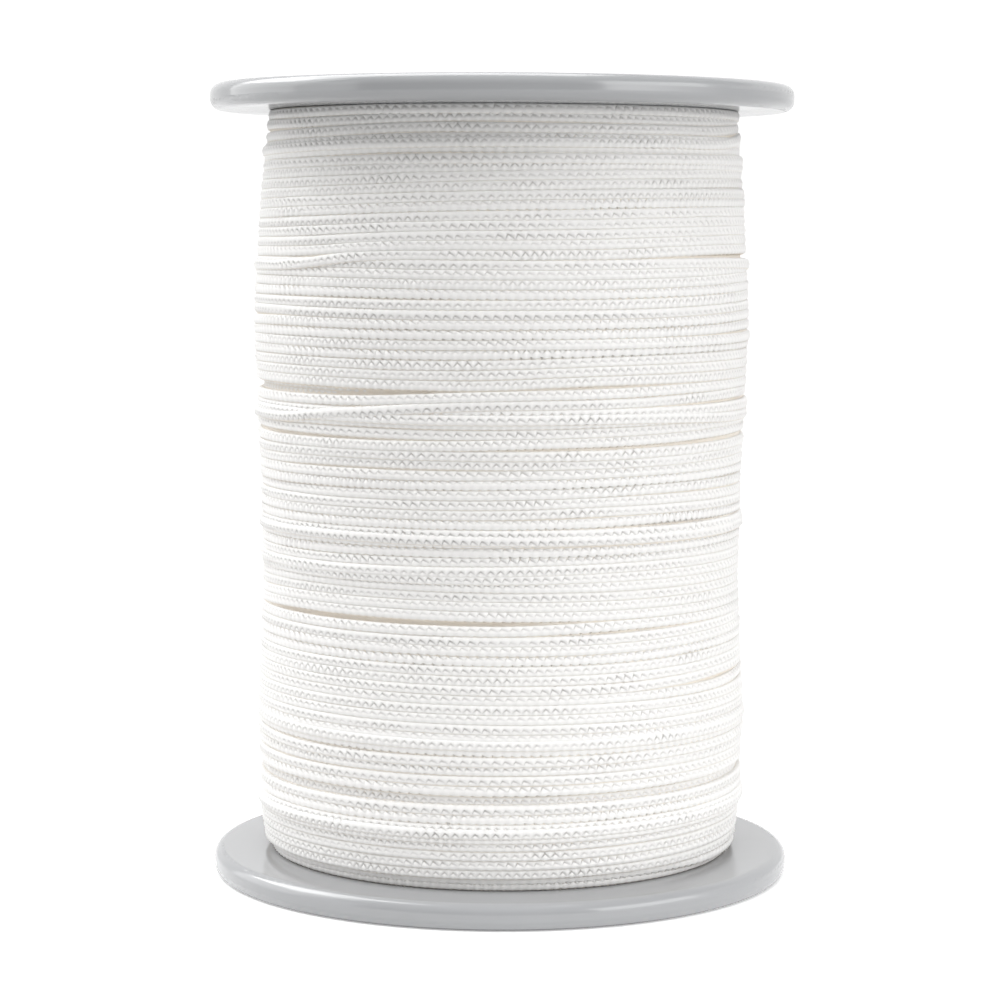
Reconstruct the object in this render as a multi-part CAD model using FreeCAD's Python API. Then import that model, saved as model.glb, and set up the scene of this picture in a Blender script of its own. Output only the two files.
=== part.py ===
"""Upright spool of white braided cord: two moulded plastic flanges on a barrel tube.

Millimetres. +Z runs up the spool's axis, and the origin is the centre of the face it stands on.
"""
import FreeCAD, Part
import math
import os

from FreeCAD import Vector

# Driving dimensions
HEIGHT = 170.0            # outer face to outer face
FLANGE_DIAMETER = 125.0
FLANGE_THICKNESS = 5.5    # at the rim and at the hub
RIM_ROUNDING = 2.2        # on both edges of the rim, which is nearly half round
WEB_THICKNESS = 2.4       # the disc that the cord lies against
RIM_WIDTH = 4.2           # radial width of the wall round the rim
RIB_COUNT = 8
RIB_WIDTH = 1.8
RIB_HEIGHT = 2.2          # less than the recess is deep, so that the ribs stay off the table
BORE_DIAMETER = 16.0      # spindle bore, the usual one for a 125 mm spool
HUB_DIAMETER = 27.0
BARREL_DIAMETER = 45.0
BARREL_WALL = 2.0
SPIGOT_LENGTH = 12.0      # collar of each flange, inside the barrel tube
SPIGOT_WALL = 1.8
SPIGOT_PLAY = 0.1
EDGE_BREAK = 0.4          # small rounding on moulded edges
CORD_DIAMETER = 2.0
START_HOLE_DIAMETER = 2.6
START_HOLE_HEIGHT = 20.0  # above the table, in the barrel wall
KNOT_LENGTH = 5.0
KNOT_DIAMETER = 4.6
KNOT_TAIL_LENGTH = 6.0    # of spare cord beyond the knot
KNOT_CLEARANCE = 0.1      # between the knot and the barrel wall
CLEARANCE = 0.15          # between the wound cord and the plastic

# Radius of the wound cord at fractions of the way up between the flanges. The pack is wound by
# hand-guided traverse, so it is barrel-bellied above the middle, waisted below it, and it draws
# in where it meets each flange.
PACK_PROFILE = (
    (0.00, 50.6),
    (0.07, 52.3),
    (0.20, 52.6),
    (0.38, 51.3),
    (0.55, 52.0),
    (0.72, 53.2),
    (0.88, 51.8),
    (0.95, 50.6),
    (1.00, 49.8),
)

# Worked out from them
FLANGE_RADIUS = FLANGE_DIAMETER / 2
BARREL_RADIUS = BARREL_DIAMETER / 2
BARREL_BORE_RADIUS = BARREL_RADIUS - BARREL_WALL
BARREL_LENGTH = HEIGHT - 2 * FLANGE_THICKNESS
SPIGOT_RADIUS = BARREL_BORE_RADIUS - SPIGOT_PLAY
UP = Vector(0, 0, 1)
ORIGIN = Vector(0, 0, 0)


def cylinder(radius, height, z=0.0):
    return Part.makeCylinder(radius, height, Vector(0, 0, z))


def ring(outer, inner, height, z=0.0):
    return cylinder(outer, height, z).cut(cylinder(inner, height, z))


def circles_at(shape, radius, z):
    """The shape's circular edges of one radius, centred on the axis at one height."""
    found = []
    for edge in shape.Edges:
        curve = edge.Curve
        if isinstance(curve, Part.Circle) and abs(curve.Radius - radius) < 1e-4:
            if abs(curve.Center.z - z) < 1e-4 and math.hypot(curve.Center.x, curve.Center.y) < 1e-4:
                found.append(edge)
    return found


def flange():
    """One moulded flange, outer face down on z = 0, with its spigot standing up."""
    disc = cylinder(FLANGE_RADIUS, FLANGE_THICKNESS)
    recess_depth = FLANGE_THICKNESS - WEB_THICKNESS
    disc = disc.cut(ring(FLANGE_RADIUS - RIM_WIDTH, HUB_DIAMETER / 2, recess_depth))
    disc = disc.makeFillet(RIM_ROUNDING, circles_at(disc, FLANGE_RADIUS, 0.0))
    disc = disc.makeFillet(RIM_ROUNDING, circles_at(disc, FLANGE_RADIUS, FLANGE_THICKNESS))
    inner_edges = circles_at(disc, FLANGE_RADIUS - RIM_WIDTH, 0.0)
    inner_edges += circles_at(disc, HUB_DIAMETER / 2, 0.0)
    disc = disc.makeFillet(EDGE_BREAK, inner_edges)
    disc = disc.fuse(ribs(recess_depth))
    spigot = ring(SPIGOT_RADIUS, SPIGOT_RADIUS - SPIGOT_WALL, SPIGOT_LENGTH, FLANGE_THICKNESS)
    spigot_end = circles_at(spigot, SPIGOT_RADIUS, FLANGE_THICKNESS + SPIGOT_LENGTH)
    spigot = spigot.makeChamfer(EDGE_BREAK, spigot_end)
    body = disc.fuse(spigot).removeSplitter()
    body = body.cut(cylinder(BORE_DIAMETER / 2, FLANGE_THICKNESS))
    return body.makeChamfer(EDGE_BREAK, circles_at(body, BORE_DIAMETER / 2, 0.0))


def ribs(recess_depth):
    """Radial stiffening ribs across the recess of the outer face, and a ring over the spigot."""
    bottom = recess_depth - RIB_HEIGHT
    start = HUB_DIAMETER / 2 - EDGE_BREAK
    length = FLANGE_RADIUS - RIM_WIDTH + EDGE_BREAK - start
    shape = ring(SPIGOT_RADIUS, SPIGOT_RADIUS - SPIGOT_WALL, RIB_HEIGHT, bottom)
    for index in range(RIB_COUNT):
        rib = Part.makeBox(length, RIB_WIDTH, RIB_HEIGHT, Vector(start, -RIB_WIDTH / 2, bottom))
        rib.rotate(ORIGIN, UP, 360.0 * index / RIB_COUNT)
        shape = shape.fuse(rib)
    return shape


def bottom_flange():
    return flange()


def top_flange():
    shape = flange()
    shape.rotate(ORIGIN, Vector(1, 0, 0), 180)
    shape.translate(Vector(0, 0, HEIGHT))
    return shape


def barrel_tube():
    """Plain tube between the flanges, with a small hole that the start of the cord goes through."""
    tube = ring(BARREL_RADIUS, BARREL_BORE_RADIUS, BARREL_LENGTH, FLANGE_THICKNESS)
    centre = Vector(BARREL_BORE_RADIUS - 1, 0, START_HOLE_HEIGHT)
    hole = Part.makeCylinder(START_HOLE_DIAMETER / 2, BARREL_WALL + 2, centre, Vector(1, 0, 0))
    return tube.cut(hole)


def cord_winding():
    """The whole wound pack as one closed ring, with the shape that its outer turns follow."""
    low = FLANGE_THICKNESS + CLEARANCE
    span = BARREL_LENGTH - 2 * CLEARANCE
    points = [Vector(radius, 0, low + span * share) for share, radius in PACK_PROFILE]
    outer = Part.BSplineCurve()
    outer.interpolate(points)
    inner_radius = BARREL_RADIUS + CLEARANCE
    inner_low = Vector(inner_radius, 0, low)
    inner_high = Vector(inner_radius, 0, low + span)
    outline = Part.Wire([
        outer.toShape(),
        Part.makeLine(points[-1], inner_high),
        Part.makeLine(inner_high, inner_low),
        Part.makeLine(inner_low, points[0]),
    ])
    return Part.Face(outline).revolve(ORIGIN, UP, 360)


def cord_start_knot():
    """The cord's first end: it passes through the barrel wall and is stopped by a knot inside."""
    inward = Vector(-1, 0, 0)
    knot_face = BARREL_BORE_RADIUS - KNOT_CLEARANCE
    knot_start = Vector(knot_face, 0, START_HOLE_HEIGHT)
    knot = Part.makeCylinder(KNOT_DIAMETER / 2, KNOT_LENGTH, knot_start, inward)
    round_edges = [edge for edge in knot.Edges if isinstance(edge.Curve, Part.Circle)]
    knot = knot.makeFillet(KNOT_DIAMETER * 0.4, round_edges)
    stem_start = Vector(BARREL_RADIUS, 0, START_HOLE_HEIGHT)
    stem_length = BARREL_RADIUS - knot_face + KNOT_LENGTH / 2
    stem = Part.makeCylinder(CORD_DIAMETER / 2, stem_length, stem_start, inward)
    tail_start = Vector(knot_face - KNOT_LENGTH * 0.8, 0, START_HOLE_HEIGHT)
    tail = Part.makeCylinder(CORD_DIAMETER / 2, KNOT_TAIL_LENGTH, tail_start, Vector(-0.25, 0, -1))
    return stem.fuse([knot, tail]).removeSplitter()


PARTS = {
    "bottom_flange": bottom_flange,
    "top_flange": top_flange,
    "barrel_tube": barrel_tube,
    "cord_winding": cord_winding,
    "cord_start_knot": cord_start_knot,
}


def main():
    os.makedirs("parts", exist_ok=True)
    for name, make in PARTS.items():
        shape = make()
        print(name, "valid", shape.isValid(), "solids", len(shape.Solids), "mm3", round(shape.Volume))
        shape.exportStep("parts/" + name + ".step")


main()
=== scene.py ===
import math

import bpy
import numpy as np
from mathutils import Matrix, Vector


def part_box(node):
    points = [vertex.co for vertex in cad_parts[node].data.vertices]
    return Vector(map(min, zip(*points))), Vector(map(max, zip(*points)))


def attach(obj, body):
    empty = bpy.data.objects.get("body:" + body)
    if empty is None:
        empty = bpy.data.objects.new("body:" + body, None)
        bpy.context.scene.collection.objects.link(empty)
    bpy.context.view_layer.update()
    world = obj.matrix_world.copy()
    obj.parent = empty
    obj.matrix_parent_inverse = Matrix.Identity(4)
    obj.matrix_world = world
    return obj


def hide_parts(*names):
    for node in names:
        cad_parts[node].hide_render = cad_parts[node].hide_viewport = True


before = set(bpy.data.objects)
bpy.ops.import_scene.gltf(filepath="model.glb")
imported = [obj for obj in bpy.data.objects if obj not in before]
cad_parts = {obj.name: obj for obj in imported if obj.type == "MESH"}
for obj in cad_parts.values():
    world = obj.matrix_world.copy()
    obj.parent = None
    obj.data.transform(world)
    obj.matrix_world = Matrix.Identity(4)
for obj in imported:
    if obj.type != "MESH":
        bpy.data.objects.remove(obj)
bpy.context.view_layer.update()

MM = 0.001

# Cord and pack. All lengths down to the studio are in millimetres.
CORD = 2.0                          # diameter of the braided cord
HALF = CORD / 2
PACK_LOW, PACK_HIGH = (corner[2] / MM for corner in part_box("cord_winding"))
CORE_RADIUS = 22.65                 # inside of the pack, just off the barrel tube
PACK_PROFILE = (                    # share of the height, outer radius
    (0.00, 50.6),
    (0.07, 52.3),
    (0.20, 52.6),
    (0.38, 51.3),
    (0.55, 52.0),
    (0.72, 53.2),
    (0.88, 51.8),
    (0.95, 50.6),
    (1.00, 49.8),
)

# How the guide leads the cord
SEED = 11
LAYERS = 3                          # layers modelled turn by turn, on the core of the pack
LAYER_RISE = 1.45                   # how much one layer adds to the radius, pressed into the last
FEED = 1.88                         # mean pitch of the traverse
STEPS = 360                         # places round the spool, for which a turn is worked out
WANDER = 0.65                       # slow error of the traverse
WANDER_TURNS = 1.2
SWAY = 0.6                          # quick error of the traverse
SWAY_TURNS = 0.3
CALM = 9.0                          # the errors shrink this close to a flange
CALM_LEAST = 0.15                   # down to this share

# How the turns settle
CELL = 0.125                        # height of a cell of the pack's surface
SEAT_SHARE = 0.93                   # how much of the cord's width finds its seat
SLIP = 3.2                          # how far a turn may settle sideways
SLIP_CHOICES = 33                   # shifts that are tried, from one limit to the other
GRIP = 0.07                         # how strongly it stays where the guide put it
FLOW = 0.4                          # how strongly it keeps the sideways shift that it had
FLOW_PLACES = 45.0                  # and for how many places
EASE = 11                           # places over which a sideways shift is smoothed
SPAN = 5                            # places over which a taut turn bridges a dip
TAUT_PASSES = 4                     # times that it is pulled taut, before it is smoothed once more
TAUT_BLUR = 2
PRESS = 0.36                        # how much of a pile's height, or a dip's depth, tension leaves
CHUNK, AHEAD, BACK = 30, 70, 50     # places laid at a time, and those looked at after and before
JOIN_SHIFT, JOIN_MIDDLE = 14.0, 6.0  # places over which a chunk bends away from the last one
END_ANGLE = math.pi / 2             # the cord's outer end lies at the back of the spool
TUCK_LENGTH = 45                    # places over which that end dives in between the turns below
TUCK_DEPTH = 2.4

# The body of the pack below the turns
FUZZ_SPAN = 0.9                     # the loose fibres between turns close a crevice this narrow
FUZZ_DEPTH = 0.1                    # and lie this far below the surface of the turns
FUZZ_PIT = 0.5                      # but this much deeper still below the turns themselves
FUZZ_EDGE = 0.08                    # how fast the one gives way to the other
FUZZ_BLUR = 1.0                     # cells over which the closed surface is smoothed
FUZZ_SPREAD = 0.8                   # in a wider gap they lie below the surface levelled this far
FUZZ_SAG = 0.26                     # by this much
EVERY_PLACE, EVERY_CELL = 3, 2      # its mesh has one in so many places and cells of the surface

# The braid: four columns of slanting floats round the cord, which meet at four zigzag seams
STITCH = 1.95                       # length of one float of the braid
RINGS_PER_STITCH = 4
RING = STITCH / RINGS_PER_STITCH    # distance between the rings of a tube
COLUMNS = 4
SLANT = 0.8                         # how many stitches a float leans across its column
FLOAT_RELIEF = 0.05                 # depth of the grooves between the floats of a column
SEAM_RELIEF = 0.4                   # depth of the pockets along a seam, where a float dives under
LIP = 0.13                          # how proud of the cord a float stands where it passes over
ZIGZAG = 0.2                        # how far a seam swings to each side, in columns
EVEN, STEEP = 0.5, 0.25             # the share of a stitch that its rise takes, slack or pulled askew
SQUEEZE = 3.8                       # 2 is a round cord, more is a cord pressed squarer
WIDE = 1.1                          # how much wider the pressed cord is, along the spool's axis
TAPER = (0.55, 0.8, 0.95)           # sizes of the last rings of a tube
CREST = 0.75                        # crest of the plain surface, between a pocket's 0 and a lip's 1; it picks the painted shade and highlight
UPPER_FLANK = 0.4                   # openness of a turn's upper flank to light from above, where its outside has 1; it sets the painted shade

# How the braid varies along the cord
UNEVEN = 0.055                      # how much the braid stretches and bunches, as a share
UNEVEN_RINGS = 50                   # rings over which that drifts, here and below
UNEVEN_MOST = 2                     # in units of UNEVEN
ROLL = 0.2                          # how far above the outermost line the outer seam lies, in radians
TWIST = 0.28                        # how much the cord rolls to and fro, in radians
TWIST_LEAST, TWIST_MOST = -0.55, 0.35
TWIST_EVERY, TWIST_SPAN = 10, 12    # places between two values, and values over which it drifts
LOOSE = 0.22                        # how much the relief of the braid varies, as a share
LOOSE_RINGS = 5
LOOSE_LEAST, LOOSE_MOST = 0.5, 1.5
ASKEW_RINGS = 60
ASKEW_BELOW = 0.3                   # the braid is askew where its drift is below this

# Which turns get all their rings, and how the cord is cut into pieces
COVER = 0.08                        # what lies this far above a turn covers it
SHOW_SHARE = 0.95                   # how much of the cord's width can show
SHOW_LEAST = 0.08                   # share of that width that has to show
SHOW_PLACES = 7                     # a place is seen if one of so many places round it shows
BURIED_EVERY = 2 * RINGS_PER_STITCH  # of so many rings, one is left where turns bury the cord
RINGS_PER_PIECE = 6000
OVERLAP = 2 * len(TAPER)            # rings that two pieces share

# The knot that holds the cord's first end inside the barrel
STEM = 2.1                          # from the outside of the barrel wall to the knot
KNOT_RADIUS = 2.3
KNOT_TURNS = 2.25
KNOT_PITCH = 1.5
KNOT_OPENING = 1.5                  # how fast the coil opens, in radians
STEM_POINTS, COIL_POINTS, TAIL_POINTS = 12, 60, 24
KNOT_BLUR = 2

# Colours
CORD_SHADE_AND_HIGHLIGHT_TINTS = (                      # by crest: painted shade in a pocket of the braid, up to a painted highlight on a lip
    (0.0, (0.67, 0.65, 0.62)),
    (0.6, (0.787, 0.78, 0.768)),
    (0.92, (0.915, 0.905, 0.89)),
)
FLANK_SHADE_TINTS = (                     # by openness to light from above: painted warm shade on the buried flank of a turn, none on its outside
    (0.0, (0.90, 0.83, 0.74)),
    (0.6, (1.0, 1.0, 1.0)),
)
FUZZ_SHADE_TINTS = (                      # by noise: a warm white darker than the cord, painted warm shade of the gaps, mottled at random
    (0.0, (0.83, 0.76, 0.66)),
    (1.0, (0.91, 0.875, 0.815)),
)
FLANGE_GREY = (0.355, 0.361, 0.371)
BARREL_GREY = (0.33, 0.34, 0.35)
WHITE = (1.0, 1.0, 1.0, 1.0)

# Studio, in metres and watts
MIDDLE, ABOVE_MIDDLE, ZENITH = (0, 0, 0.09), (0, 0, 0.1), (0, 0, 1)
LIGHTS = (                          # name, shape, place, aim, size, power, rays it is hidden from
    ("left_box", "RECTANGLE", (-1.0, 0.3, 0.6), MIDDLE, (1.0, 1.25), 7.8, ()),
    ("right_box", "RECTANGLE", (0.9, -0.5, 0.38), MIDDLE, (0.9, 0.76), 4.4, ()),
    ("top_box", "RECTANGLE", (-0.1, -0.4, 1.1), ABOVE_MIDDLE, (1.2, 0.8), 7.2, ("glossy",)),
    ("front_box", "RECTANGLE", (0.3, -1.4, 0.35), ABOVE_MIDDLE, (1.2, 0.8), 1.5, ("glossy",)),
    ("bounce_card", "DISK", (0, 0, 0.0005), ZENITH, (0.6, 0.6), 0.7, ("glossy", "camera")),
)
REFLECTORS = (                      # name, strength, corners
    ("canopy", 4.6, [(-1.5, 1.5, 1.1), (-1.5, 0.2, 1.1), (0.3, -0.1, 1.1), (0.3, 0.45, 1.1)]),
    ("left_card", 1.4, [(-1.2, -0.8, 0), (-1.2, -0.15, 0), (-1.2, -0.15, 0.8), (-1.2, -0.8, 0.8)]),
    ("right_front_card", 1.5, [(0.74, -0.95, 0), (1.2, 0, 0), (1.2, 0, 0.8), (0.74, -0.95, 0.8)]),
    ("right_card", 1.1, [(1.2, 0.0, 0), (1.2, 1.3, 0), (1.2, 1.3, 0.8), (1.2, 0.0, 0.8)]),
)
FLOOR = [(-3, -2.2, 0), (3, -2.2, 0), (3, 2.4, 0), (-3, 2.4, 0)]
BACKDROP = [(-3, 2.4, 0), (3, 2.4, 0), (3, 2.4, 3), (-3, 2.4, 3)]
FLOOR_WHITE = (0.92, 0.92, 0.92, 1)
FLOOR_GLOW = 0.3
BACKDROP_GLOW = 1.1
SKY_LOW, SKY_HIGH = 0.31, 0.75      # strength of the world at the horizon and at the zenith
EYE = (-0.0004, -0.638, 0.1416)
EYE_DOWN, EYE_ROLL = 5.455, -0.2    # in degrees
LENS, SENSOR = 106.0, 36.0          # in millimetres
NEAREST = 0.01


# --- winding ---------------------------------------------------------------------------------

def bell(width):
    """Weights of a bell curve, which add up to one."""
    reach = int(2.5 * width)
    weights = np.exp(-0.5 * (np.arange(-reach, reach + 1) / width) ** 2)
    return weights / weights.sum()


def blur(values, width):
    """Values smoothed over some width, with both end values held."""
    weights = bell(width)
    pad = len(weights) // 2
    padded = np.concatenate([np.full(pad, values[0]), values, np.full(pad, values[-1])])
    return np.convolve(padded, weights, "valid")


def drift(rng, count, width):
    """Smooth noise of unit size."""
    weights = bell(width)
    raw = rng.standard_normal(count + len(weights) - 1)
    return np.convolve(raw, weights, "valid") / math.sqrt((weights ** 2).sum())


def outline(height):
    """Outer radius of the full pack at some height."""
    share = (height - PACK_LOW) / (PACK_HIGH - PACK_LOW)
    return np.interp(share, [p[0] for p in PACK_PROFILE], [p[1] for p in PACK_PROFILE])


def close_crevices(rows, width):
    """Raises what lies in crevices narrower than some width, and leaves the rest alone."""
    reach = int(width / CELL / 2)
    count = rows.shape[1]
    for pick in (np.max, np.min):
        padded = np.pad(rows, ((0, 0), (reach, reach)), "edge")
        rows = pick([padded[:, k:k + count] for k in range(2 * reach + 1)], 0)
    return rows


class Pack:
    """The surface of the wound pack, as a radius for each place round it and height up it."""

    def __init__(self):
        self.heights = np.arange(PACK_LOW, PACK_HIGH, CELL)
        self.radius = np.repeat((outline(self.heights) - LAYERS * LAYER_RISE)[None, :], STEPS, 0)
        self.reach = np.arange(-int(HALF / CELL), int(HALF / CELL) + 1)

    def under(self, height):
        """The cells under a cord at some height, how far each is from the cord's middle, and how
        far the cord's round surface stands out from that middle there.
        """
        cell = np.rint((height - PACK_LOW) / CELL).astype(int)[..., None] + self.reach
        away = PACK_LOW + cell * CELL - height[..., None]
        bulge = np.sqrt(np.maximum(HALF ** 2 - away ** 2, 0))
        return np.clip(cell, 0, len(self.heights) - 1), np.abs(away), bulge

    def seat(self, rows, height):
        """The radius at which the middle of a cord comes to rest."""
        cell, away, bulge = self.under(height)
        rows = rows.reshape(rows.shape + (1,) * (cell.ndim - rows.ndim))
        touch = np.where(away < HALF * SEAT_SHARE, self.radius[rows, cell] + bulge, 0)
        return touch.max(-1)

    def lay(self, rows, height, middle):
        """Raises the surface to the outside of a cord."""
        cell, away, bulge = self.under(height)
        top = middle[:, None] + bulge
        np.maximum.at(self.radius, (rows[:, None], cell), np.where(away < HALF, top, 0))

    def showing(self, rows, height, middle):
        """The share of the cord's width that nothing lies on."""
        cell, away, bulge = self.under(height)
        top = middle[:, None] + bulge
        inside = away < HALF * SHOW_SHARE
        free = (self.radius[rows[:, None], cell] < top + COVER) & inside
        return free.sum(-1) / inside.sum(-1)


def traverse(rng):
    """Where the guide puts the cord: up and down between the flanges, never quite evenly. With the
    number of places in a layer.
    """
    travel = PACK_HIGH - PACK_LOW - CORD
    count = int(travel / FEED * STEPS)
    ramp = np.linspace(0, travel, count, endpoint=False)
    legs = [ramp if leg % 2 == 0 else travel - ramp for leg in range(LAYERS)]
    height = PACK_LOW + HALF + np.concatenate(legs)
    error = WANDER * drift(rng, len(height), WANDER_TURNS * STEPS)
    error = error + SWAY * drift(rng, len(height), SWAY_TURNS * STEPS)
    room = np.minimum(height - PACK_LOW, PACK_HIGH - height)
    height = height + error * np.clip(room / CALM, CALM_LEAST, 1)
    return np.clip(height, PACK_LOW + HALF, PACK_HIGH - HALF), count


def tuck(index, total):
    """How far below the surface the cord's outer end has dived."""
    share = np.clip((index - (total - TUCK_LENGTH)) / TUCK_LENGTH, 0, 1)
    return TUCK_DEPTH * share * share * (3 - 2 * share)


def join(values, last, places):
    """Bends the start of a run of values so that it goes on from the last value before it."""
    return values + (last - values[0]) * np.exp(-np.arange(len(values)) / places)


def wind():
    """Lays the cord turn by turn. Returns the pack, and the height and radius of the cord's middle
    at every place.
    """
    rng = np.random.default_rng(SEED)
    pack = Pack()
    guide, per_layer = traverse(rng)
    total = len(guide)
    lowest, highest = PACK_LOW + HALF, PACK_HIGH - HALF
    choices = np.linspace(-SLIP, SLIP, SLIP_CHOICES)
    shift = np.zeros(total)
    height = guide.copy()
    middle = np.zeros(total)
    for start in range(0, total, CHUNK):
        index = np.arange(start, min(total, start + CHUNK + AHEAD))
        rows = index % STEPS
        before = max(0, start - BACK)
        last = shift[start - 1] if start else 0.0
        tries = np.clip(guide[index][:, None] + choices, lowest, highest)
        memory = np.exp(-np.arange(len(index)) / FLOW_PLACES)[:, None]
        cost = pack.seat(rows, tries) + GRIP * choices ** 2 + FLOW * memory * (choices - last) ** 2
        wanted = np.concatenate([shift[before:start], choices[cost.argmin(1)]])
        moved = blur(wanted, EASE)[start - before:]
        if start:
            moved = join(moved, last, JOIN_SHIFT)
        place = np.clip(guide[index] + moved, lowest, highest)
        rest = pack.seat(rows, place)
        level = outline(place) - (LAYERS - 1 - index // per_layer) * LAYER_RISE - HALF
        rest = level + PRESS * (rest - level)
        seat = np.concatenate([middle[before:start], rest])
        taut = seat
        for _ in range(TAUT_PASSES):
            taut = np.maximum(seat, blur(taut, SPAN))
        taut = blur(taut, TAUT_BLUR)[start - before:]
        if start:
            taut = join(taut, middle[start - 1], JOIN_MIDDLE)
        taut = taut - tuck(index, total)
        done = min(CHUNK, total - start)
        shift[start:start + done] = moved[:done]
        height[start:start + done] = place[:done]
        middle[start:start + done] = taut[:done]
        pack.lay(rows[:done], place[:done], taut[:done])
    return pack, height, middle


# --- meshes ----------------------------------------------------------------------------------

def ring_faces(here, there, sides):
    """Faces of four corners between pairs of rings of points: where each ring starts."""
    here, there = here[:, None], there[:, None]
    side = np.arange(sides)[None, :]
    beside = (side + 1) % sides
    return np.stack([here + side, there + side, there + beside, here + beside], -1).reshape(-1, 4)


def new_piece(name, points, quads, triangles, material):
    """A smooth piece of cord on the root body, from points in millimetres."""
    corners = np.concatenate([quads.ravel(), np.array(triangles, int).ravel()])
    totals = np.repeat([4, 3], [len(quads), len(triangles)])
    mesh = bpy.data.meshes.new(name)
    mesh.vertices.add(len(points))
    mesh.vertices.foreach_set("co", (points * MM).astype(np.float32).ravel())
    mesh.loops.add(len(corners))
    mesh.loops.foreach_set("vertex_index", corners.astype(np.int32))
    mesh.polygons.add(len(totals))
    mesh.polygons.foreach_set("loop_start", (np.cumsum(totals) - totals).astype(np.int32))
    mesh.polygons.foreach_set("loop_total", totals.astype(np.int32))
    mesh.polygons.foreach_set("use_smooth", np.ones(len(totals), bool))
    mesh.update(calc_edges=True)
    mesh.materials.append(material)
    piece = bpy.data.objects.new(name, mesh)
    bpy.context.scene.collection.objects.link(piece)
    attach(piece, "root")
    return piece


def store(mesh, name, values):
    """Stores a number for each point of a mesh, for the material to read."""
    layer = mesh.attributes.new(name, "FLOAT", "POINT")
    layer.data.foreach_set("value", np.asarray(values, np.float32))


# Places round a ring of a tube, in columns from the seam that faces outwards. The outer three seams
# have a place of their own with one close on each side. The side that lies on the pack, with the
# fourth seam, has fewer places.
AROUND = np.array([
    -1.5, -1.14, -1.0, -0.86, -0.62, -0.38, -0.14, 0.0, 0.14, 0.38, 0.62, 0.86, 1.0, 1.14, 1.5, 2.0,
])
NEAREST_SEAM = np.rint(AROUND)
BESIDE_SEAM = np.abs(AROUND - NEAREST_SEAM) < 0.2
ON_SEAM = np.abs(AROUND - NEAREST_SEAM) < 0.01
SIDE_OF_SEAM = np.sign(AROUND - NEAREST_SEAM) * np.where(BESIDE_SEAM, 1.0, 0.5)


def braid(stitches, tightness, rise):
    """For each ring: where its places lie round the cord, in columns, and how deep they are."""
    stitches, tightness, rise = stitches[:, None], tightness[:, None], rise[:, None]
    phase = (stitches + 0.5 * (NEAREST_SEAM % 2)) % 1.0
    swing = 2 * np.where(phase < rise, phase / rise, (1 - phase) / (1 - rise)) - 1
    pocket = tightness * SEAM_RELIEF * (0.5 + 0.5 * swing)
    lip = tightness * LIP * np.maximum(0, -SIDE_OF_SEAM * swing)
    swing = np.where(BESIDE_SEAM, tightness * ZIGZAG * swing, 0)
    column = np.floor(AROUND)
    lean = np.where(column % 2 == 0, 1, -1)
    phase = (stitches + lean * SLANT * (AROUND - column - 0.5)) % 1.0
    groove = FLOAT_RELIEF * np.abs(2 * phase - 1) ** 2
    return AROUND + swing, np.where(ON_SEAM, pocket, groove - lip)


def tube(name, path, outward, upward, stitches, twist, tightness, rise, material):
    """One stretch of braided cord along a path, whose turning outward and upward directions lie
    across it. Its two ends taper to a point inside the stretches beside it.
    """
    rings, sides = len(stitches), len(AROUND)
    size = np.ones(rings)
    size[:len(TAPER)] = TAPER
    size[-len(TAPER):] = TAPER[::-1]
    place, depth = braid(stitches, tightness, rise)
    angle = place * math.tau / COLUMNS + twist[:, None]
    up, out = np.sin(angle), np.cos(angle)
    reach = (np.abs(up) ** SQUEEZE + np.abs(out) ** SQUEEZE) ** (-1 / SQUEEZE)
    reach = (HALF * reach - depth) * size[:, None]
    points = path[:, None] + (reach * out)[..., None] * outward[:, None]
    points += (WIDE * reach * up)[..., None] * upward[:, None]
    starts = np.arange(rings) * sides
    quads = ring_faces(starts[:-1], starts[1:], sides)
    first, last = rings * sides, rings * sides + 1
    caps = [(first, k, (k + 1) % sides) for k in range(sides)]
    caps += [(last, starts[-1] + (k + 1) % sides, starts[-1] + k) for k in range(sides)]
    points = np.concatenate([points.reshape(-1, 3), path[[0, -1]]])
    piece = new_piece(name, points, quads, caps, material)
    shares = {
        "crest": CREST - CREST * depth / SEAM_RELIEF,
        "along": np.repeat(stitches * STITCH, sides),
        "around": np.tile(AROUND / COLUMNS, rings),
        "openness": out + UPPER_FLANK * up,
    }
    tips = {"along": stitches[[0, -1]] * STITCH}
    for share, values in shares.items():
        store(piece.data, share, np.concatenate([values.ravel(), tips.get(share, [0, 0])]))
    return piece


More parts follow.
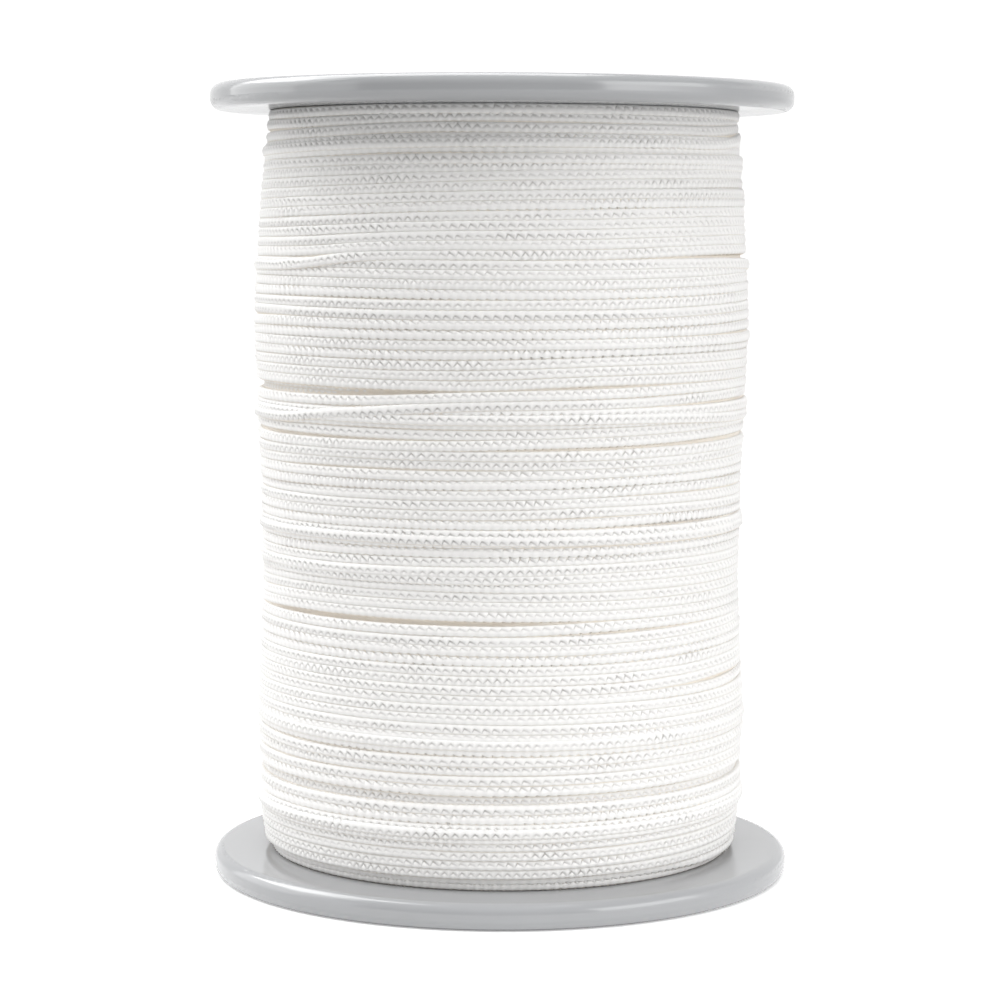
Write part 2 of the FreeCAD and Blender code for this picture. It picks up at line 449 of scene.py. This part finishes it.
def winding_tubes(pack, height, middle, material):
    """The outer layers as braided tubes, coarse where other turns bury them."""
    index = np.arange(len(height))
    seen = pack.showing(index % STEPS, height, middle) > SHOW_LEAST
    seen = np.convolve(seen, np.ones(SHOW_PLACES), "same") > 0
    theta = (index - index[-1]) * math.tau / STEPS + END_ANGLE
    arc = middle * math.tau / STEPS
    length = np.concatenate([[0], np.cumsum((arc[1:] + arc[:-1]) / 2)])
    rng = np.random.default_rng(SEED + 1)
    stretch = drift(rng, int(length[-1] / RING), UNEVEN_RINGS)
    at = np.cumsum(RING * (1 + UNEVEN * np.clip(stretch, -UNEVEN_MOST, UNEVEN_MOST)))
    at = at[at < length[-1]]
    ring = np.arange(len(at))
    place = np.interp(at, length, index)
    keep = seen[np.rint(place).astype(int)] | (ring % BURIED_EVERY == 0)
    ring, place = ring[keep], place[keep]
    twist = TWIST * drift(rng, len(height) // TWIST_EVERY + 1, TWIST_SPAN)
    twist = ROLL + np.clip(twist, TWIST_LEAST, TWIST_MOST)
    known = index[::TWIST_EVERY]
    twist = np.interp(place, known, twist[:len(known)])
    tightness = np.clip(1 + LOOSE * drift(rng, len(ring), LOOSE_RINGS), LOOSE_LEAST, LOOSE_MOST)
    rise = np.where(drift(rng, len(ring), ASKEW_RINGS) > ASKEW_BELOW, EVEN, STEEP)
    starts = range(0, len(ring) - OVERLAP, RINGS_PER_PIECE - OVERLAP)
    for number, start in enumerate(starts, 1):
        part = slice(start, start + RINGS_PER_PIECE)
        angle, radius, level = (np.interp(place[part], index, row) for row in (theta, middle, height))
        outward = np.stack([np.cos(angle), np.sin(angle), 0 * angle], -1)
        upward = np.broadcast_to([0.0, 0.0, 1.0], outward.shape)
        tube(
            "cord_turns_%02d" % number, radius[:, None] * outward + level[:, None] * upward,
            outward, upward, ring[part] / RINGS_PER_STITCH, twist[part], tightness[part],
            rise[part], material,
        )


def start_knot(material):
    """The cord's first end: in through the barrel wall, twice round itself, and a short tail."""
    lowest, highest = (np.array(corner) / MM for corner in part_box("cord_start_knot"))
    level = highest[2] - KNOT_RADIUS
    inner = highest[0] - STEM
    turn = np.linspace(0, KNOT_TURNS * math.tau, COIL_POINTS)
    swell = (KNOT_RADIUS - HALF) * np.sin(np.clip(turn / KNOT_OPENING, 0, math.pi / 2))
    coil = np.stack([
        inner - HALF - turn / math.tau * KNOT_PITCH,
        swell * np.sin(turn),
        level + swell * np.cos(turn) - swell[0],
    ], -1)
    stem = np.linspace([highest[0], 0, level], coil[0], STEM_POINTS, endpoint=False)
    tip = [lowest[0] + HALF, 0, lowest[2] + HALF / 2]
    tail = np.linspace(coil[-1], tip, TAIL_POINTS)[1:]
    route = np.concatenate([stem, coil, tail])
    route = np.stack([blur(axis, KNOT_BLUR) for axis in route.T], -1)
    length = np.concatenate([[0], np.cumsum(np.linalg.norm(np.diff(route, axis=0), axis=1))])
    at = np.arange(0, length[-1], RING)
    path = np.stack([np.interp(at, length, axis) for axis in route.T], -1)
    along = np.gradient(path, axis=0)
    along /= np.linalg.norm(along, axis=1)[:, None]
    outward = np.cross(along, [0.0, 1.0, 0.0])
    for k in range(1, len(path)):
        outward[k] = outward[k - 1] - along[k] * outward[k - 1].dot(along[k])
        outward[k] /= np.linalg.norm(outward[k])
    upward = np.cross(outward, along)
    plain = np.ones(len(path))
    knot = tube(
        "start_knot", path, outward, upward, at / STITCH, 0 * plain, plain, EVEN * plain, material,
    )
    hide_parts("cord_start_knot")


def pack_core(pack, last, material):
    """The body of the pack: one closed ring whose surface is the fuzz in the gaps between turns."""
    rows = pack.radius[::EVERY_PLACE]
    closed = close_crevices(rows, FUZZ_SPAN)
    closed = closed - FUZZ_DEPTH - FUZZ_PIT * np.exp((rows - closed) / FUZZ_EDGE)
    closed = np.array([blur(row, FUZZ_BLUR) for row in closed])
    levelled = np.array([blur(row, FUZZ_SPREAD / CELL) for row in rows]) - FUZZ_SAG
    surface = np.maximum(closed, levelled)[:, ::EVERY_CELL]
    level = pack.heights[::EVERY_CELL].copy()
    level[0], level[-1] = PACK_LOW, PACK_HIGH
    level = np.concatenate([[PACK_LOW], level, [PACK_HIGH]])
    count = len(surface)
    inside = np.full((count, 1), CORE_RADIUS)
    radius = np.concatenate([inside, surface, inside], 1)
    angle = (np.arange(count) * EVERY_PLACE - last) * math.tau / STEPS + END_ANGLE
    points = np.stack([
        radius * np.cos(angle)[:, None], radius * np.sin(angle)[:, None],
        np.repeat(level[None, :], count, 0),
    ], -1)
    starts = np.arange(count) * len(level)
    quads = ring_faces(starts, np.roll(starts, -1), len(level))
    piece = new_piece("cord_pack_core", points.reshape(-1, 3), quads, [], material)
    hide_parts("cord_winding")


# --- materials -------------------------------------------------------------------------------

def shader(name, **values):
    """A material with its Principled shader's sockets set, its node tree and that shader."""
    material = bpy.data.materials.new(name)
    material.use_nodes = True
    principled = material.node_tree.nodes["Principled BSDF"]
    for socket, value in values.items():
        principled.inputs[socket.replace("_", " ")].default_value = value
    return material, material.node_tree, principled


def node(tree, kind, inputs=None, **settings):
    """A new node, with its inputs linked to other nodes' sockets or set to values."""
    made = tree.nodes.new(kind)
    for key, value in settings.items():
        setattr(made, key, value)
    for socket, value in (inputs or {}).items():
        if isinstance(value, bpy.types.NodeSocket):
            tree.links.new(value, made.inputs[socket])
        else:
            made.inputs[socket].default_value = value
    return made


def stored(tree, name):
    """A number that a mesh has stored for each point."""
    return node(tree, "ShaderNodeAttribute", attribute_name=name).outputs["Fac"]


def product(tree, first, second):
    """One vector or colour times another."""
    return node(tree, "ShaderNodeVectorMath", {0: first, 1: second}, operation="MULTIPLY").outputs[0]


def noise(tree, place, scale, detail):
    """Noise by place, from 0 to 1."""
    inputs = {"Vector": place, "Scale": scale, "Detail": detail}
    return node(tree, "ShaderNodeTexNoise", inputs).outputs["Fac"]


def ramp(tree, share, tints):
    """A colour by share, from rows of a position and its tint."""
    made = node(tree, "ShaderNodeValToRGB", {"Fac": share})
    stops = made.color_ramp.elements
    stops[-1].position = tints[-1][0]
    for position, _ in tints[1:-1]:
        stops.new(position)
    for stop, (_, tint) in zip(stops, tints):
        stop.color = tint + (1,)
    return made.outputs["Color"]


def emboss(tree, principled, height, strength, distance):
    """Fine relief of a surface."""
    inputs = {"Height": height, "Strength": strength, "Distance": distance}
    bump = node(tree, "ShaderNodeBump", inputs)
    tree.links.new(bump.outputs["Normal"], principled.inputs["Normal"])


def cord_material():
    """White braided cord with fine fibres: painted shade greys its pockets and warms its buried
    flanks, and a painted highlight lights its lips.
    """
    material, tree, principled = shader(
        "braided_cord", Roughness=0.5, Sheen_Weight=0.15, Sheen_Roughness=0.4,
        Specular_IOR_Level=0.35,
    )
    along, around = stored(tree, "along"), stored(tree, "around")
    place = node(tree, "ShaderNodeCombineXYZ", {"X": along, "Y": around}).outputs[0]
    fibre = noise(tree, product(tree, place, (1.2, 60.0, 0.0)), 1.0, 2.0)
    patch = noise(tree, place, 0.03, 3.0)
    # painted shade in the braid's pockets and a painted highlight on its lips
    tint = ramp(tree, stored(tree, "crest"), CORD_SHADE_AND_HIGHLIGHT_TINTS)
    # painted warm shade on the lower, buried flank of each turn
    flank_shade = ramp(tree, stored(tree, "openness"), FLANK_SHADE_TINTS)
    shade = node(tree, "ShaderNodeMapRange", {"Value": patch, "To Min": 0.98, "To Max": 1.015})
    colour = product(tree, product(tree, tint, flank_shade), shade.outputs["Result"])
    tree.links.new(colour, principled.inputs["Base Color"])
    emboss(tree, principled, fibre, 0.35, 0.00008)
    return material


def pack_material():
    """The fuzz between the turns: mottled along the turns, in a warm white darker than the cord that
    is painted shade of the gaps.
    """
    material, tree, principled = shader("cord_under_layers", Roughness=0.6, Sheen_Weight=0.15)
    where = node(tree, "ShaderNodeTexCoord").outputs["Object"]
    mottling = noise(tree, product(tree, where, (300.0, 300.0, 900.0)), 1.0, 3.0)
    # painted warm shade of the gaps between turns, mottled at random
    tree.links.new(ramp(tree, mottling, FUZZ_SHADE_TINTS), principled.inputs["Base Color"])
    emboss(tree, principled, mottling, 0.5, 0.0002)
    return material


def plastic_material(name, colour, roughness):
    """Moulded grey plastic: faint flow mottling of its colour and gloss, and a fine satin grain."""
    material, tree, principled = shader(name, Specular_IOR_Level=0.5, IOR=1.65)
    where = node(tree, "ShaderNodeTexCoord").outputs["Object"]
    flow = noise(tree, where, 28.0, 4.0)
    grain = noise(tree, where, 1400.0, 2.0)
    tint = node(tree, "ShaderNodeMix", {"Factor": flow}, data_type="RGBA")
    for socket, share in ((6, 0.965), (7, 1.035)):
        tint.inputs[socket].default_value = tuple(c * share for c in colour) + (1,)
    tree.links.new(tint.outputs[2], principled.inputs["Base Color"])
    rough = node(tree, "ShaderNodeMapRange", {
        "Value": flow, "From Min": 0.3, "From Max": 0.7,
        "To Min": roughness - 0.04, "To Max": roughness + 0.06,
    })
    tree.links.new(rough.outputs["Result"], principled.inputs["Roughness"])
    emboss(tree, principled, grain, 0.12, 0.00005)
    return material


def dress(node_name, material):
    """Gives a CAD node a material."""
    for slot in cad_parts[node_name].material_slots:
        slot.material = material


# --- studio ----------------------------------------------------------------------------------

def emission(name, strength):
    """A material that glows white."""
    material = bpy.data.materials.new(name)
    material.use_nodes = True
    tree = material.node_tree
    tree.nodes.clear()
    glow = node(tree, "ShaderNodeEmission", {"Color": WHITE, "Strength": strength})
    out = node(tree, "ShaderNodeOutputMaterial")
    tree.links.new(glow.outputs[0], out.inputs["Surface"])
    return material


def hide(thing, rays):
    """Hides a light or a card from some kinds of rays."""
    for kind in rays:
        setattr(thing, "visible_" + kind, False)


def area_light(name, shape, place, aim, size, power, hidden_from):
    light = bpy.data.lights.new(name, "AREA")
    light.shape = shape
    light.size, light.size_y = size
    light.energy = power
    lamp = bpy.data.objects.new(name, light)
    lamp.location = place
    direction = np.array(aim) - np.array(place)
    lamp.rotation_euler = Vector(direction).to_track_quat("-Z", "Y").to_euler()
    hide(lamp, hidden_from)
    bpy.context.scene.collection.objects.link(lamp)


def sheet(name, corners, material):
    """A flat stage prop of four corners."""
    mesh = bpy.data.meshes.new(name)
    mesh.from_pydata(corners, [], [(0, 1, 2, 3)])
    mesh.materials.append(material)
    board = bpy.data.objects.new(name, mesh)
    bpy.context.scene.collection.objects.link(board)
    return board


def reflector(name, strength, corners):
    """A bright card that shows only in the gloss of the plastic."""
    card = sheet(name, corners, emission(name, strength))
    hide(card, ("diffuse", "camera", "shadow"))


def sky():
    """White world, brighter towards the zenith."""
    world = bpy.data.worlds.new("studio")
    world.use_nodes = True
    tree = world.node_tree
    background = tree.nodes["Background"]
    background.inputs["Color"].default_value = WHITE
    toward = node(tree, "ShaderNodeTexCoord").outputs["Generated"]
    split = node(tree, "ShaderNodeSeparateXYZ", {"Vector": toward})
    strength = node(tree, "ShaderNodeMapRange", {
        "Value": split.outputs["Z"], "From Min": 0.0, "From Max": 1.0,
        "To Min": SKY_LOW, "To Max": SKY_HIGH,
    })
    tree.links.new(strength.outputs["Result"], background.inputs["Strength"])
    bpy.context.scene.world = world


def studio():
    """Pale floor and backdrop, soft boxes, and cards for the gloss."""
    scene = bpy.context.scene
    scene.view_settings.view_transform = "Standard"
    scene.view_settings.look = "None"
    scene.cycles.diffuse_bounces = 8
    sky()
    floor, _, principled = shader(
        "studio_floor", Base_Color=FLOOR_WHITE, Roughness=0.9, Specular_IOR_Level=0.0,
    )
    principled.inputs["Emission Color"].default_value = WHITE
    principled.inputs["Emission Strength"].default_value = FLOOR_GLOW
    hide(sheet("floor", FLOOR, floor), ("diffuse",))
    sheet("backdrop", BACKDROP, emission("studio_wall", BACKDROP_GLOW))
    for row in LIGHTS:
        area_light(*row)
    for row in REFLECTORS:
        reflector(*row)


def camera():
    """The camera at the photograph's viewing angle."""
    lens = bpy.data.cameras.new("camera")
    lens.lens = LENS
    lens.sensor_width = SENSOR
    lens.clip_start = NEAREST
    eye = bpy.data.objects.new("camera", lens)
    eye.location = EYE
    eye.rotation_euler = (math.radians(90 - EYE_DOWN), math.radians(EYE_ROLL), 0)
    bpy.context.scene.collection.objects.link(eye)
    bpy.context.scene.camera = eye


def main():
    camera()
    studio()
    cord = cord_material()
    pack, height, middle = wind()
    winding_tubes(pack, height, middle, cord)
    pack_core(pack, len(height) - 1, pack_material())
    grey = plastic_material("flange_plastic", FLANGE_GREY, 0.15)
    dress("bottom_flange", grey)
    dress("top_flange", grey)
    dress("barrel_tube", plastic_material("barrel_plastic", BARREL_GREY, 0.5))
    start_knot(cord)


main()
